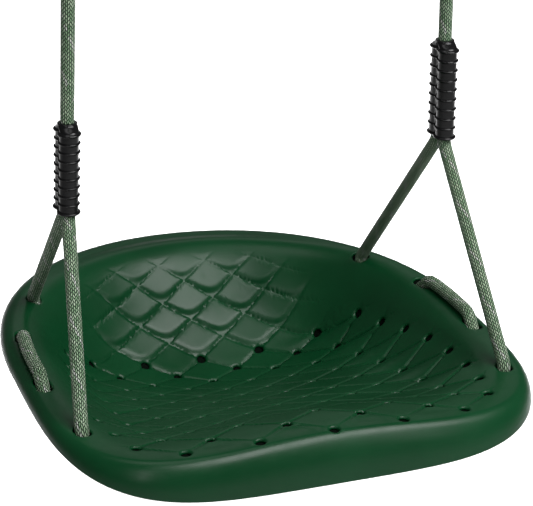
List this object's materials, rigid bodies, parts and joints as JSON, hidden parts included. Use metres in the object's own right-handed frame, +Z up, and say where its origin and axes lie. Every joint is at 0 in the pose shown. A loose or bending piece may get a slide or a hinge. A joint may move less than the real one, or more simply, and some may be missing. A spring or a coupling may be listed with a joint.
{
  "type": "saucer nest swing",
  "caption": "Dished moulded plastic saucer swing seat with a quilted, drained bowl, hung on braided ropes with ribbed sleeves and screw-gate quick links.",
  "frame": {"origin": "midway between the tops of the two quick links, where the swing hangs from its beam", "axes": "+Z up, +X along the line between the two hanging points (to the right as seen from the seat's straight front edge), +Y towards the deep round back of the seat"},
  "size_m": [0.559, 0.6376, 0.743],
  "materials": {
    "seat_green": "satin, moulded",
    "rope_sage": "braided, matt",
    "sleeve_black": "satin",
    "seizing_black": "matt",
    "link_black": "gloss black coating"
  },
  "bodies": {
    "anchors": {"link_body_left": "link_black", "link_body_right": "link_black"},
    "gate_left": {"link_nut_left": "link_black"},
    "gate_right": {"link_nut_right": "link_black"},
    "hangers": {"rope_hanger_left": "rope_sage", "rope_hanger_right": "rope_sage", "eye_seizing_left": "seizing_black", "eye_seizing_right": "seizing_black"},
    "seat": {"seat_shell": "seat_green", "rope_fork_left": "rope_sage", "rope_fork_right": "rope_sage", "sleeve_left": "sleeve_black", "sleeve_right": "sleeve_black"}
  },
  "joints": [
    {"name": "swing", "type": "hinge", "parent": "anchors", "child": "hangers", "pos_m": [0, 0, -0.0726], "axis": [1, 0, 0], "range_deg": [-60, 60]},
    {"name": "seat_tilt", "type": "hinge", "parent": "hangers", "child": "seat", "pos_m": [-0.00035, 0, -0.29665], "axis": [0.9924, 0, 0.1233], "range_deg": [-25, 25]},
    {"name": "gate_left_slide", "type": "slide", "parent": "anchors", "child": "gate_left", "axis": [0, 0, -1], "range_m": [0, 0.0155]},
    {"name": "gate_right_slide", "type": "slide", "parent": "anchors", "child": "gate_right", "axis": [0, 0, -1], "range_m": [0, 0.0155]}
  ]
}
